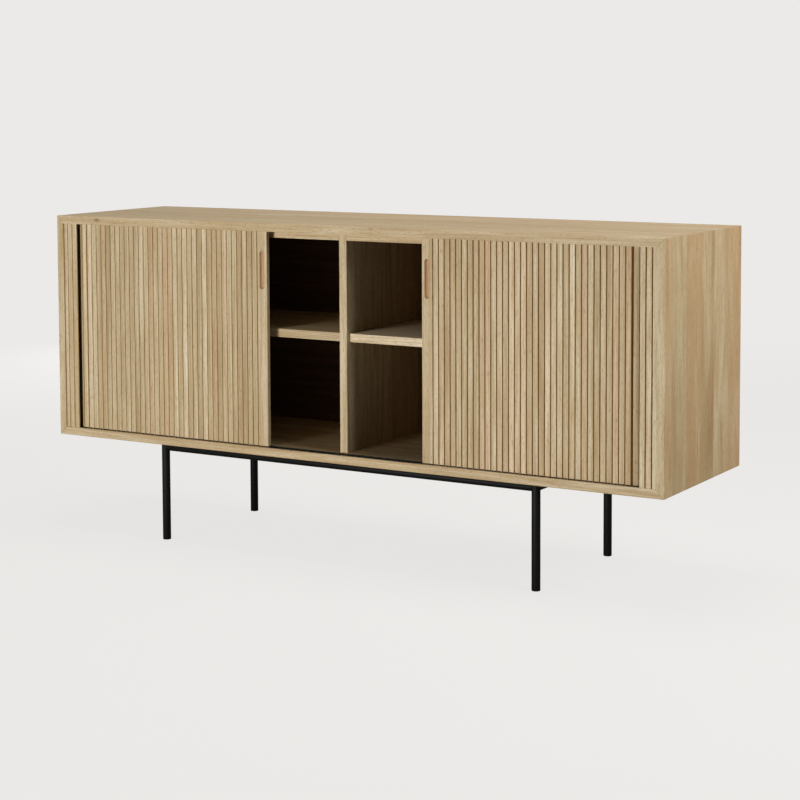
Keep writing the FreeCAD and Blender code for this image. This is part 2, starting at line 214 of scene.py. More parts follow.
def new_material(name: str) -> tuple[Material, Adder, Node]:
    """Makes a material with a plain surface.

    Args:
        name: the material's name.

    Returns:
        The material, the function that adds a node to it, and its surface shader.
    """
    material = bpy.data.materials.new(name)
    add = adder(material)
    shader = add("ShaderNodeBsdfPrincipled")
    add("ShaderNodeOutputMaterial", {"Surface": shader})
    return material, add, shader


# Finishes


@dataclass(frozen=True)
class Figure:
    """One layer of the grain: noise that is drawn out along the board."""

    across_mm: float
    along_mm: float
    detail: float
    wander: float = 0.0
    roughness: float = 0.6

    def build(self, add: Adder, place: NodeSocket | Node) -> Node:
        """Adds the layer's nodes.

        Args:
            add: adds a node to the material.
            place: the place along, across and through the board.

        Returns:
            The node that gives the layer's strength.
        """
        across = per_metre(self.across_mm)
        drawn = add("ShaderNodeVectorMath", {0: place, 1: (per_metre(self.along_mm), across, across)},
                    operation="MULTIPLY")
        return add("ShaderNodeTexNoise", {"Vector": drawn, "Scale": 1.0, "Detail": self.detail,
                                          "Roughness": self.roughness, "Distortion": self.wander})


@dataclass
class OakFinish:
    """Oiled European oak: straight streaks of early and late wood, with open pores along the grain.

    New boards carry their own grain direction as an attribute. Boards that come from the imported
    model are read by their place, and are glued up from staves of different tone.
    """

    name: str
    pale: str = "#d5c8aa"
    middle: str = "#baa680"
    deep: str = "#9b7f57"
    pore: str = "#806342"
    blush: str = "#b98f68"
    # near black, painted as shade on the groove of the floor and on the ends of the slats
    shade_black: str = "#0e0c0a"
    streaks: Figure = Figure(17.0, 380.0, 3.0, 0.9)
    lines: Figure = Figure(3.4, 140.0, 4.0, 0.25)
    # oak's pores are 0.3 mm wide, drawn coarser so that they show
    pores: Figure = Figure(1.8, 13.0, 2.0)
    # where pale, middle and deep wood lie on the streaks
    stops: Triple = (0.22, 0.54, 0.86)
    # a pale board is mostly sapwood, a dark one mostly heartwood
    heart: float = 0.4
    shade: Pair = (0.82, 1.18)
    # where late wood and open pores begin, where they are full, and how much they then cover
    late_cover: Triple = (0.46, 0.74, 0.7)
    pore_cover: Triple = (0.55, 0.72, 0.6)
    blush_cover: float = 0.75
    roughness: float = 0.58
    gloss_spread: Pair = (-0.06, 0.14)
    specular: float = 0.25
    bump: float = 0.22
    bump_mm: float = 0.3
    stave: Grain | None = None
    stave_mm: float = 56.0
    stave_wander: float = 0.7
    # staves come from far apart in the log, so their figure doesn't run on
    stave_shift: float = 7.0
    tones: Pair = (0.36, 0.56)
    blush_from: float = 0.35
    most_blush: float = 0.35
    # back of the thin edge band on the front of a board, and the band's tone
    band: Pair | None = None
    mitred: bool = False
    glue_mm: float = 1.0
    glue_cover: float = 0.8
    knot: Triple | None = None
    knot_mm: Triple = (13.0, 13.0, 6.0)
    # share of the knot that is darkest, and how dark that is
    knot_heart: float = 0.2
    knot_cover: float = 0.85
    # front edge, back edge and floor of the groove that the slats run in and its ledge, painted black as
    # shade
    track: Triple | None = None
    # lowest and highest point of the part between the tracks, for a slat whose ends run in them; above and
    # below it the slat is painted with shade
    clean: Pair | None = None
    add: Adder = field(init=False)
    where: NodeSocket = field(init=False)
    parts: Sequence[NodeSocket] = field(init=False)

    def build(self) -> Material:
        """Builds the node material.

        Returns:
            The oak material.
        """
        material, self.add, shader = new_material(self.name)
        self.where = self.add("ShaderNodeTexCoord").outputs["Object"]
        self.parts = self.add("ShaderNodeSeparateXYZ", {"Vector": self.where}).outputs
        place, tone, blush = self._staves() if self.stave else self._marks()
        layers = (self.streaks, self.lines, self.pores)
        streaks, lines, pores = (layer.build(self.add, place) for layer in layers)
        heart = self.add("ShaderNodeMapRange", {"Value": tone, "To Min": self.heart, "To Max": -self.heart})
        ripe = self.add("ShaderNodeMath", {0: heart, 1: streaks}, operation="ADD")
        colour = self.add("ShaderNodeValToRGB", {"Fac": ripe},
                          tuple(zip(self.stops, (self.pale, self.middle, self.deep))))
        bounds = ((lines, self.late_cover), (pores, self.pore_cover))
        late, hollow = (self.add("ShaderNodeMapRange",
                                 {"Value": layer, "From Min": start, "From Max": full, "To Max": most})
                        for layer, (start, full, most) in bounds)
        warm = self.add("ShaderNodeMapRange", {"Value": blush, "To Max": self.blush_cover})
        covers = [(late, self.deep), (warm, self.blush), (hollow, self.pore)]
        if self.mitred:
            covers.append((self._mitres(), self.pore))
        if self.knot:
            covers.append((self._knot(), self.pore))
        if self.track:
            covers.append((self._track(), self.shade_black))
        if self.clean:
            covers.append((self._ends(), self.shade_black))
        for amount, cover in covers:
            mix = {MIX_AMOUNT: amount, MIX_UNDER: colour, MIX_COVER: linear(cover)}
            colour = self.add("ShaderNodeMix", mix, data_type="RGBA")
        dark, light = self.shade
        shade = self.add("ShaderNodeMapRange", {"Value": tone, "To Min": dark, "To Max": light})
        toned = self.add("ShaderNodeVectorMath", {0: colour, "Scale": shade}, operation="SCALE")
        least, most = (self.roughness + step for step in self.gloss_spread)
        gloss = self.add("ShaderNodeMapRange", {"Value": lines, "To Min": least, "To Max": most})
        relief = self.add("ShaderNodeMath", {0: hollow, 1: -1.0, 2: lines}, operation="MULTIPLY_ADD")
        bump = self.add("ShaderNodeBump",
                        {"Strength": self.bump, "Distance": self.bump_mm * MM, "Height": relief})
        feed(shader, {"Base Color": toned, "Roughness": gloss, "Normal": bump,
                      "Specular IOR Level": self.specular})
        return material

    def _marks(self) -> tuple[NodeSocket, ...]:
        """Place along the grain, tone and blush from the board's own attributes."""
        return tuple(self.add("ShaderNodeAttribute", attribute_name=name).outputs[socket]
                     for name, socket in ((GRAIN, "Vector"), (TONE, "Fac"), (BLUSH, "Fac")))

    def _staves(self) -> tuple[Node, Node, Node]:
        """Place, tone and blush of a board that is glued up from staves.

        Returns:
            Nodes for the place along, across and through the grain, the tone and the blush.
        """
        along, across, through = (self.parts[axis] for axis in self.stave.value)
        cells = self.add("ShaderNodeTexVoronoi", {"W": across, "Scale": per_metre(self.stave_mm),
                                                  "Randomness": self.stave_wander}, voronoi_dimensions="1D")
        shades = self.add("ShaderNodeSeparateXYZ", {"Vector": cells.outputs["Color"]}).outputs
        shift = self.add("ShaderNodeMath", {0: shades["X"], 1: self.stave_shift, 2: along},
                         operation="MULTIPLY_ADD")
        place = self.add("ShaderNodeCombineXYZ", {"X": shift, "Y": across, "Z": through})
        dark, light = self.tones
        tone = self.add("ShaderNodeMapRange", {"Value": shades["Y"], "To Min": dark, "To Max": light})
        blush = self.add("ShaderNodeMapRange",
                         {"Value": shades["Z"], "From Min": self.blush_from, "To Max": self.most_blush})
        if self.band:
            back, band_tone = self.band
            banded = self.add("ShaderNodeMath", {0: self.parts["Y"], 1: back}, operation="LESS_THAN")
            tone, blush = (self.add("ShaderNodeMapRange", {"Value": banded, "To Min": plain, "To Max": value})
                           for plain, value in ((tone, band_tone), (blush, 0.0)))
        return place, tone, blush

    def _knot(self) -> Node:
        """One small dark pin knot.

        Returns:
            The node that tells how dark the knot is.
        """
        centred = self.add("ShaderNodeVectorMath", {0: self.where, 1: self.knot}, operation="SUBTRACT")
        sized = self.add("ShaderNodeVectorMath", {0: centred, 1: [per_metre(size) for size in self.knot_mm]},
                         operation="MULTIPLY")
        away = self.add("ShaderNodeVectorMath", {0: sized}, operation="LENGTH")
        return self.add("ShaderNodeMapRange", {"Value": away, "From Min": self.knot_heart, "From Max": 1.0,
                                               "To Min": self.knot_cover, "To Max": 0.0})

    def _track(self) -> Node:
        """Painted shade: the groove that the slats run in and the ledge in front of it, painted black.

        Returns:
            The node that gives one on the track.
        """
        front, back, floor = self.track
        within = self.add("ShaderNodeMath",
                          {0: self.parts["Y"], 1: (front + back) / 2, 2: (back - front) / 2},
                          operation="COMPARE")
        return self.add("ShaderNodeMapRange",
                        {"Value": self.parts["Z"], "From Min": floor, "From Max": floor + MM, "Steps": 1.0,
                         "To Max": within}, interpolation_type="STEPPED")

    def _ends(self) -> Node:
        """Painted shade on the top and bottom ends of a slat, next to the case's top and floor.

        Returns:
            The node that gives one on the ends.
        """
        low, high = self.clean
        between = self.add("ShaderNodeMath", {0: self.parts["Z"], 1: (low + high) / 2, 2: (high - low) / 2},
                           operation="COMPARE")
        return self.add("ShaderNodeMapRange", {"Value": between, "To Min": 1.0, "To Max": 0.0})

    def _mitres(self) -> Node:
        """A thin dark glue line along the four mitres of the case.

        Returns:
            The node that tells how dark the line is.
        """
        low, high = (Vector(corner) for corner in (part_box("bottom_panel")[0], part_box("top_panel")[1]))
        centred = self.add("ShaderNodeVectorMath", {0: self.where, 1: (low + high) / 2}, operation="SUBTRACT")
        size = self.add("ShaderNodeVectorMath", {0: centred}, operation="ABSOLUTE")
        sizes = self.add("ShaderNodeSeparateXYZ", {"Vector": size}).outputs
        slant = self.add("ShaderNodeMath", {0: sizes["X"], 1: sizes["Z"]}, operation="SUBTRACT")
        miss = self.add("ShaderNodeMath", {0: slant, 1: (high.x - low.x - high.z + low.z) / 2},
                        operation="SUBTRACT")
        away = self.add("ShaderNodeMath", {0: miss}, operation="ABSOLUTE")
        return self.add("ShaderNodeMapRange", {"Value": away, "From Max": self.glue_mm * MM,
                                               "To Min": self.glue_cover, "To Max": 0.0})


@dataclass(frozen=True)
class SkinFinish:
    """Powder coat, moulded plastic, a black sheet of painted shade, or zinc: a skin whose fine uneven specks
    shift tint and gloss.
    """

    name: str
    dull: str
    bright: str
    roughness: Pair
    speck_mm: float = 1.6
    detail: float = 2.0
    # where the dull and the bright tint lie on the specks
    stops: Pair = (0.3, 0.75)
    bump: float = 0.3
    bump_mm: float = 0.06
    specular: float = 0.1
    metallic: float = 0.0

    def build(self) -> Material:
        """Builds the node material.

        Returns:
            The skin.
        """
        material, add, shader = new_material(self.name)
        where = add("ShaderNodeTexCoord").outputs["Object"]
        specks = add("ShaderNodeTexNoise",
                     {"Vector": where, "Scale": per_metre(self.speck_mm), "Detail": self.detail})
        tint = add("ShaderNodeValToRGB", {"Fac": specks}, tuple(zip(self.stops, (self.dull, self.bright))))
        least, most = self.roughness
        gloss = add("ShaderNodeMapRange", {"Value": specks, "To Min": least, "To Max": most})
        bump = add("ShaderNodeBump", {"Strength": self.bump, "Distance": self.bump_mm * MM, "Height": specks})
        feed(shader, {"Base Color": tint, "Roughness": gloss, "Normal": bump,
                      "Specular IOR Level": self.specular, "Metallic": self.metallic})
        return material


@dataclass(frozen=True)
class CanvasFinish:
    """Plain-woven cotton canvas, glued behind the slats: warp over weft, matte and a little fuzzy."""

    name: str
    light: str = "#6b5a44"
    dark: str = "#3c3125"
    # threads are 0.9 mm apart, drawn twice as coarse so that the weave shows
    thread_mm: float = 1.8
    roughness: float = 0.95
    fuzz: float = 0.2
    bump: float = 0.4
    bump_mm: float = 0.2

    def build(self) -> Material:
        """Builds the node material.

        Returns:
            The canvas.
        """
        material, add, shader = new_material(self.name)
        where = add("ShaderNodeTexCoord").outputs["Object"]
        weave = add("ShaderNodeTexChecker", {"Vector": where, "Scale": per_metre(self.thread_mm),
                                             "Color1": linear(self.light), "Color2": linear(self.dark)})
        bump = add("ShaderNodeBump", {"Strength": self.bump, "Distance": self.bump_mm * MM,
                                      "Height": weave.outputs["Fac"]})
        feed(shader, {"Base Color": weave, "Roughness": self.roughness, "Sheen Weight": self.fuzz,
                      "Normal": bump})
        return material


class Palette:
    """All finishes of the sideboard, built once."""

    # part of a slat between the tracks, with painted shade above and below it
    CLEAN = (0.2619, 0.7737)
    # pin knot on the top's front edge
    KNOT = (-0.697, -0.22, 0.787)
    # front edge, back edge and floor of the painted shade along the groove of the floor
    TRACK = (-0.2125, -0.1885, 0.25)
    EDGE_BAND = (-0.2194, 0.5)

    def __init__(self) -> None:
        """Builds every material."""
        self.oak = OakFinish("oiled_oak").build()
        # painted shade darkens the top and bottom ends of each slat
        self.slat = OakFinish("oiled_oak_with_waxed_ends", clean=self.CLEAN).build()
        # the recess is coloured darker and redder than the face: partly the cut wood's own colour, partly
        # painted shade in the hollow
        self.routed = OakFinish("routed_oak", pale="#c3a27c", middle="#b3906a", deep="#9a7651",
                                roughness=0.62).build()
        # painted bounce light and shade: the sideways faces of slats and reeds are coloured warmer and
        # darker, as light bounced between them in the grooves would show
        self.sawn = OakFinish("sawn_oak", pale="#c8a672", middle="#b8945e", deep="#9f7a45",
                              roughness=0.66).build()
        self.oak_width = OakFinish("oiled_oak_staves_along_width", stave=Grain.WIDTH, mitred=True,
                                   knot=self.KNOT).build()
        # the floor of the case gets painted shade along the groove the slats run in
        self.oak_floor = OakFinish("oiled_oak_with_black_track", stave=Grain.WIDTH, mitred=True,
                                   track=self.TRACK).build()
        # the sides have broader, browner streaks behind a pale edge band
        self.oak_height = OakFinish("oiled_oak_staves_upright", stave=Grain.HEIGHT, mitred=True,
                                    tones=(0.32, 0.52), blush="#b08455", most_blush=0.55, stave_mm=74.0,
                                    streaks=Figure(64.0, 420.0, 3.0, 0.9),
                                    lines=Figure(5.5, 150.0, 4.0, 0.25), band=self.EDGE_BAND).build()
        self.ply_width = OakFinish("oak_veneer_along_width", stave=Grain.WIDTH_FRONT, stave_mm=160.0,
                                   streaks=Figure(17.0, 900.0, 3.0, 0.9),
                                   lines=Figure(3.4, 320.0, 4.0, 0.25)).build()
        # painted shade: the inside of the case is coloured nearly black, so the bays look deep in shadow
        shade_darkened = {"pale": "#775941", "middle": "#5e4632", "deep": "#463424", "pore": "#322419",
                  "blush": "#5e3d2a", "stave_mm": 160.0, "most_blush": 0.0}
        self.shade_darkened_width = OakFinish("smoked_oak_veneer_along_width", stave=Grain.WIDTH_FRONT,
                                      **shade_darkened).build()
        self.shade_darkened_height = OakFinish("smoked_oak_veneer_upright", stave=Grain.HEIGHT, **shade_darkened).build()
        self.black = SkinFinish("black_powder_coat", "#0a0a0a", "#121211", (0.49, 0.63)).build()
        self.plastic = SkinFinish("black_moulded_plastic", "#0a0a0a", "#111110", (0.59, 0.73),
                                  speck_mm=0.9).build()
        # black sheet that paints the shade in the gap between each end strip and its door
        self.shade_sheet = SkinFinish("black_painted_shade", "#050505", "#0b0a09", (0.86, 1.0), bump_mm=0.3).build()
        self.canvas = CanvasFinish("cotton_canvas").build()
        # plating is cloudy rather than rough
        self.zinc = SkinFinish("zinc_plate", "#9c9d99", "#b9bab6", (0.28, 0.46), speck_mm=3.0, detail=3.0,
                               stops=(0.3, 0.7), bump=0.0, specular=0.5, metallic=1.0).build()


# Modelling by operators


def activate(*pieces: Object) -> None:
    """Selects some pieces alone.

    Args:
        pieces: what to work on next, the active one first.
    """
    bpy.ops.object.select_all(action="DESELECT")
    for piece in pieces:
        piece.select_set(True)
    bpy.context.view_layer.objects.active = pieces[0]


def settle(name: str) -> Object:
    """Names the piece just added and puts its place into its mesh.

    Args:
        name: the piece's name.

    Returns:
        The piece, at the origin.
    """
    piece = bpy.context.object
    piece.name = piece.data.name = name
    bpy.ops.object.transform_apply(location=True, rotation=True, scale=True)
    return piece


def add_block(name: str, low: Sequence[float], high: Sequence[float]) -> Object:
    """Adds a block between two corners.

    Args:
        name: the piece's name.
        low: lowest corner.
        high: highest corner.

    Returns:
        The block.
    """
    low, high = Vector(low), Vector(high)
    bpy.ops.mesh.primitive_cube_add(size=1.0, location=(low + high) / 2)
    bpy.context.object.scale = high - low
    return settle(name)


def select_edges(piece: Object, wanted: EdgeTest) -> None:
    """Enters edit mode with some edges selected.

    Args:
        piece: the mesh object.
        wanted: tells from an edge's two ends whether to take it.
    """
    activate(piece)
    bpy.ops.object.mode_set(mode="EDIT")
    bpy.ops.mesh.select_mode(type="EDGE")
    bpy.ops.mesh.select_all(action="DESELECT")
    bpy.ops.object.mode_set(mode="OBJECT")
    points = piece.data.vertices
    for edge in piece.data.edges:
        edge.select = wanted(*(points[i].co for i in edge.vertices))
    bpy.ops.object.mode_set(mode="EDIT")


def bevel_edges(piece: Object, width: float, wanted: EdgeTest, segments: int = 2) -> None:
    """Rounds some edges of a piece.

    Args:
        piece: the mesh object.
        width: size of the rounding.
        wanted: tells from an edge's two ends whether to round it.
        segments: steps of the rounding.
    """
    select_edges(piece, wanted)
    bpy.ops.mesh.bevel(offset=width, segments=segments, affect="EDGES", profile=0.5)
    bpy.ops.object.mode_set(mode="OBJECT")


def smooth(piece: Object, degrees: float = 35.0) -> None:
    """Shades a piece smooth over its rounded edges."""
    activate(piece)
    bpy.ops.object.shade_smooth_by_angle(angle=math.radians(degrees))


def join(pieces: Sequence[Object], name: str) -> Object:
    """Joins several meshes into one piece.

    Args:
        pieces: the meshes.
        name: name of the joined piece.

    Returns:
        The joined piece.
    """
    activate(*pieces)
    bpy.ops.object.join()
    joined = bpy.context.object
    joined.name = joined.data.name = name
    return joined


def mark_grain(piece: Object, grain: Grain, chance: random.Random, tone: float, blush: float = 0.0) -> None:
    """Stores a board's own grain, so that the pattern follows the board when it moves.

    Args:
        piece: the mesh object.
        grain: the way the grain runs.
        chance: source of the board's cut from the log.
        tone: from 0, dark, to 1, pale.
        blush: share of the reddish heartwood.
    """
    cut = [chance.uniform(0.0, LOG_LENGTH) for _ in range(3)]
    mesh = piece.data
    where = [point.co[axis] + start for point in mesh.vertices for axis, start in zip(grain.value, cut)]
    mesh.attributes.new(GRAIN, "FLOAT_VECTOR", "POINT").data.foreach_set("vector", where)
    for name, value in ((TONE, tone), (BLUSH, blush)):
        mesh.attributes.new(name, "FLOAT", "POINT").data.foreach_set("value", [value] * len(mesh.vertices))


def paint(piece: Object, *materials: Material) -> None:
    """Gives a piece its materials.

    Args:
        piece: the mesh object.
        materials: in slot order.
    """
    piece.data.materials.clear()
    for material in materials:
        piece.data.materials.append(material)


def warm_edges(piece: Object, slope: float = 0.6) -> None:
    """Gives the faces of an upright slat that look sideways its second material."""
    for face in piece.data.polygons:
        face.material_index = int(abs(face.normal.x) > slope)


def report(piece: Object) -> None:
    """Logs a finished piece."""
    log.info("%s: %d faces", piece.name, len(piece.data.polygons))


def stand_in(piece: Object, node: str, body: str | None = None) -> None:
    """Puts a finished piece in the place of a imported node.

    Args:
        piece: the finished piece.
        node: the node that it stands for.
        body: the body that it rides, unless it has one already.
    """
    if body:
        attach(piece, body)
    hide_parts(node)
    report(piece)


# Sub-assemblies


@dataclass
class Case:
    """The mitred case, its back and what is screwed to it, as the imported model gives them."""

    palette: Palette

    def dress(self) -> None:
        """Gives every board of the case its finish."""
        looks = self.palette
        finishes = {
            "top_panel": looks.oak_width,
            # painted shade along the groove at its front
            "bottom_panel": looks.oak_floor,
            "left_side_panel": looks.oak_height,
            "right_side_panel": looks.oak_height,
            "back_panel": looks.ply_width,
            # the inside of the case is painted dark as shade
            "inner_back": looks.shade_darkened_width,
            "left_inner_side": looks.shade_darkened_height,
            "right_inner_side": looks.shade_darkened_height,
            "mitre_splines": looks.ply_width,
            "shelf_pins": looks.zinc,
            "plate_screws": looks.zinc,
            "back_panel_screws": looks.zinc,
            "mounting_plates": looks.black,
        }
        for node, material in finishes.items():
            paint(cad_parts[node], material)
            report(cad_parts[node])


@dataclass
class Fittings:
    """Divider, shelves and top rails: solid boards with eased front edges."""

    palette: Palette
    ease: float = 1.0 * MM
    most_blush: float = 0.2
    seed: int = 41

    def build(self) -> None:
        """Builds and dresses every board inside the case."""
        chance = random.Random(self.seed)
        boards = {
            "centre_divider": (Grain.HEIGHT, 0.52),
            "left_shelf": (Grain.WIDTH, 0.44),
            "right_shelf": (Grain.WIDTH, 0.77),
            "left_top_rail": (Grain.WIDTH_FRONT, 0.52),
            "right_top_rail": (Grain.WIDTH_FRONT, 0.5),
        }
        for node, (grain, tone) in boards.items():
            low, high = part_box(node)
            board = add_block(node + "_board", low, high)
            middle = (low.y + high.y) / 2
            bevel_edges(board, self.ease, lambda a, b: max(a.y, b.y) < middle)
            smooth(board)
            mark_grain(board, grain, chance, tone, chance.uniform(0.0, self.most_blush))
            paint(board, self.palette.oak)
            stand_in(board, node, "case")


@dataclass
class EndStrip:
    """A fixed reeded board at one end of the front, with a black sheet of painted shade on its inner edge."""

    palette: Palette
    look: DoorLook
    reeds: int = 3
    ease: float = 1.2 * MM
    # thickness, setback and rounding of the black sheet of painted shade
    shade_sheet: float = 0.6 * MM
    shade_sheet_back: float = 3.2 * MM
    shade_sheet_ease: float = 0.2 * MM
    # the board shows only at the bottom of the grooves, where its darker tone paints shade
    groove_shade_tone: float = 0.3
    reed_tones: Pair = (0.5, 0.72)
    most_blush: float = 0.2
    seed: int = 7

    def build(self) -> None:
        """Builds the strip as reeds on a thin board, then puts painted shade on its inner edge."""
        door = self.look.door
        node = f"{door.label}_end_strip"
        low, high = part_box(node)
        inside, outside = sorted((abs(low.x), abs(high.x)))
        bottom = low.y + self.look.strip_groove
        chance = random.Random(self.seed + door.value)
        board = add_block(node + "_board", (low.x, bottom, low.z), high)
        mark_grain(board, Grain.HEIGHT_FRONT, chance, self.groove_shade_tone)
        parts = [board]
        for i in range(self.reeds):
            start = inside + i * SLAT_PITCH
            left, right = door.across(start, min(start + SLAT_PITCH - self.look.strip_gap, outside))
            reed = add_block(f"{node}_reed_{i}", (left, low.y, low.z), (right, bottom, high.z))
            bevel_edges(reed, self.ease, lambda a, b: max(a.y, b.y) < low.y + MM and abs(a.x - b.x) < MM)
            mark_grain(reed, Grain.HEIGHT_FRONT, chance, chance.uniform(*self.reed_tones),
                       chance.uniform(0.0, self.most_blush))
            parts.append(reed)
        for part in parts:
            # the sideways faces of the reeds get the painted bounce light
            paint(part, self.palette.oak, self.palette.sawn)
            warm_edges(part)
        strip = join(parts + [self._shade_sheet(low, high, inside)], node + "_reeds")
        smooth(strip)
        stand_in(strip, node, "case")

    def _shade_sheet(self, low: Vector, high: Vector, inside: float) -> Object:
        """Makes the black sheet of painted shade between the strip and the door.

        Args:
            low: lowest corner of the strip.
            high: highest corner of the strip.
            inside: from the middle of the case to the strip.

        Returns:
            The black sheet.
        """
        left, right = self.look.door.across(inside - self.shade_sheet, inside)
        front = low.y + self.shade_sheet_back
        middle = (front + high.y) / 2
        shade_block = add_block("shade_block", (left, front, low.z), (right, high.y, high.z))
        bevel_edges(shade_block, self.shade_sheet_ease, lambda a, b: max(a.y, b.y) < middle)
        paint(shade_block, self.palette.shade_sheet)
        return shade_block


@dataclass
class LeadStile:
    """The wide first slat of a door, with a finger recess routed in its face."""

    palette: Palette
    door: Door
    tone: float = 0.5
    blush: float = 0.08
    seed: int = 90
    recess_width: float = 13.0 * MM
    recess_height: float = 90.0 * MM
    recess_drop: float = 48.0 * MM
    # the rim lies within this share of the recess's size from its middle
    rim_reach: float = 0.51
    rim: float = 0.5 * MM
    ease: float = 1.5 * MM
    ceiling: float = 775.0 * MM
    cutter_sides: int = 32
    # an odd number of rings leaves the middle free to be drawn out
    cutter_rings: int = 21

    def build(self) -> None:
        """Builds the stile, cuts the recess and eases its rim."""
        node = f"{self.door.label}_lead_stile"
        low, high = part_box(node)
        stile = add_block(node + "_bar", low, high)
        bevel_edges(stile, self.ease, lambda a, b: abs(a.z - b.z) > self.recess_height, FINE_STEPS)
        # the stile's ends get the painted shade of the slat finish
        paint(stile, self.palette.slat, self.palette.routed)
        level = self.ceiling - self.recess_drop - self.recess_height / 2
        centre = Vector(((low.x + high.x) / 2, low.y, level))
        self._route(stile, centre)
        wide, tall = self.recess_width * self.rim_reach, self.recess_height * self.rim_reach
        bevel_edges(stile, self.rim, lambda a, b: max(a.y, b.y) < low.y + TOUCH
                    and max(abs(p.x - centre.x) for p in (a, b)) < wide
                    and max(abs(p.z - centre.z) for p in (a, b)) < tall)
        smooth(stile)
        chance = random.Random(self.seed + self.door.value)
        mark_grain(stile, Grain.HEIGHT_FRONT, chance, self.tone, self.blush)
        stand_in(stile, node, self.door.body)

    def _route(self, stile: Object, centre: Vector) -> None:
        """Cuts the recess with a ball-nosed bit, drawn out along its way.

        Args:
            stile: the stile to cut.
            centre: the middle of the recess, on the stile's face.
        """
        bpy.ops.mesh.primitive_uv_sphere_add(segments=self.cutter_sides, ring_count=self.cutter_rings,
                                             radius=self.recess_width / 2, location=centre)
        cutter = settle("recess_cutter")
        reach = (self.recess_height - self.recess_width) / 2
        for way in (-1, 1):
            select_edges(cutter, lambda a, b: min(way * (a.z - centre.z), way * (b.z - centre.z)) > 0)
            bpy.ops.transform.translate(value=(0, 0, way * reach))
            bpy.ops.object.mode_set(mode="OBJECT")
        # the recess takes the cut wood's colour together with its painted shade
        paint(cutter, self.palette.routed)
        activate(stile)
        modifier = stile.modifiers.new("recess", "BOOLEAN")
        modifier.operation = "DIFFERENCE"
        modifier.solver = "EXACT"
        modifier.object = cutter
        bpy.ops.object.modifier_apply(modifier=modifier.name)
        bpy.data.meshes.remove(cutter.data)


